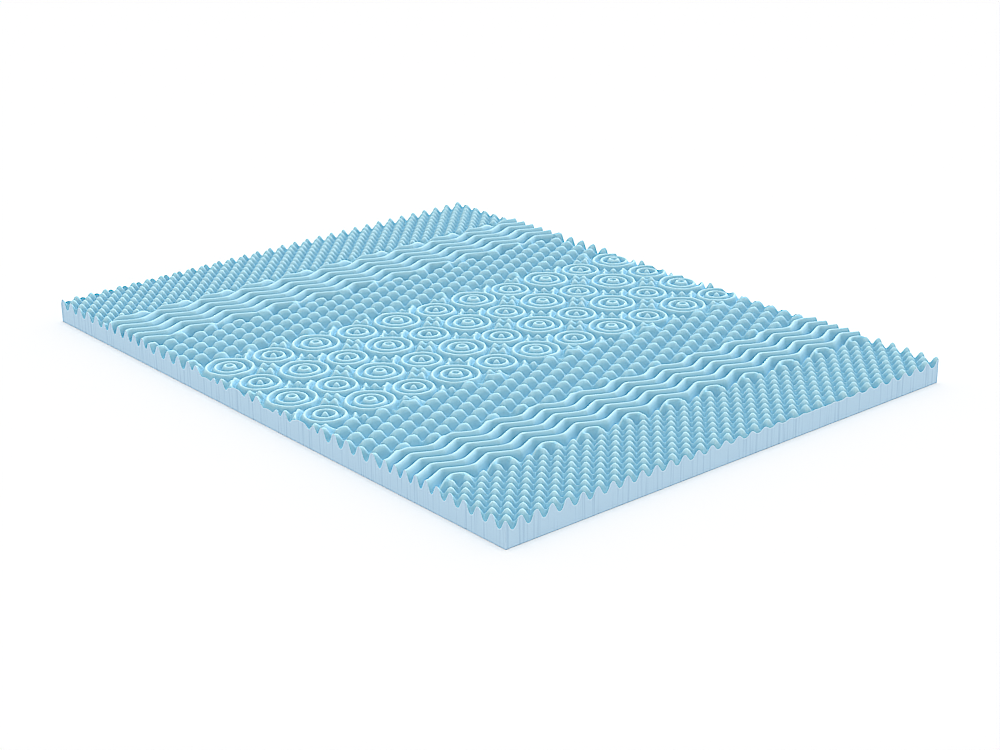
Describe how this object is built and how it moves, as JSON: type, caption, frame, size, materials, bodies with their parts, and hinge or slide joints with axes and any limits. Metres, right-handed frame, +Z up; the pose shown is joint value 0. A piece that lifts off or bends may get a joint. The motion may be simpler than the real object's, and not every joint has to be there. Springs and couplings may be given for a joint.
{
  "type": "profile-cut foam mattress topper",
  "caption": "Flat rectangular foam slab for the top of a bed, flat below, its top cut in bands of peaks, zigzag waves, round bumps and concentric rings.",
  "frame": {"origin": "centre of the flat underside, on the surface that the topper lies on", "axes": "+X across the bed, +Y from the foot to the head, +Z up out of the profile-cut top"},
  "size_m": [1.524, 2.032, 0.0762],
  "materials": {
    "foam": "matt open-cell foam"
  },
  "bodies": {
    "root": {"foam_slab": "foam"}
  },
  "joints": []
}
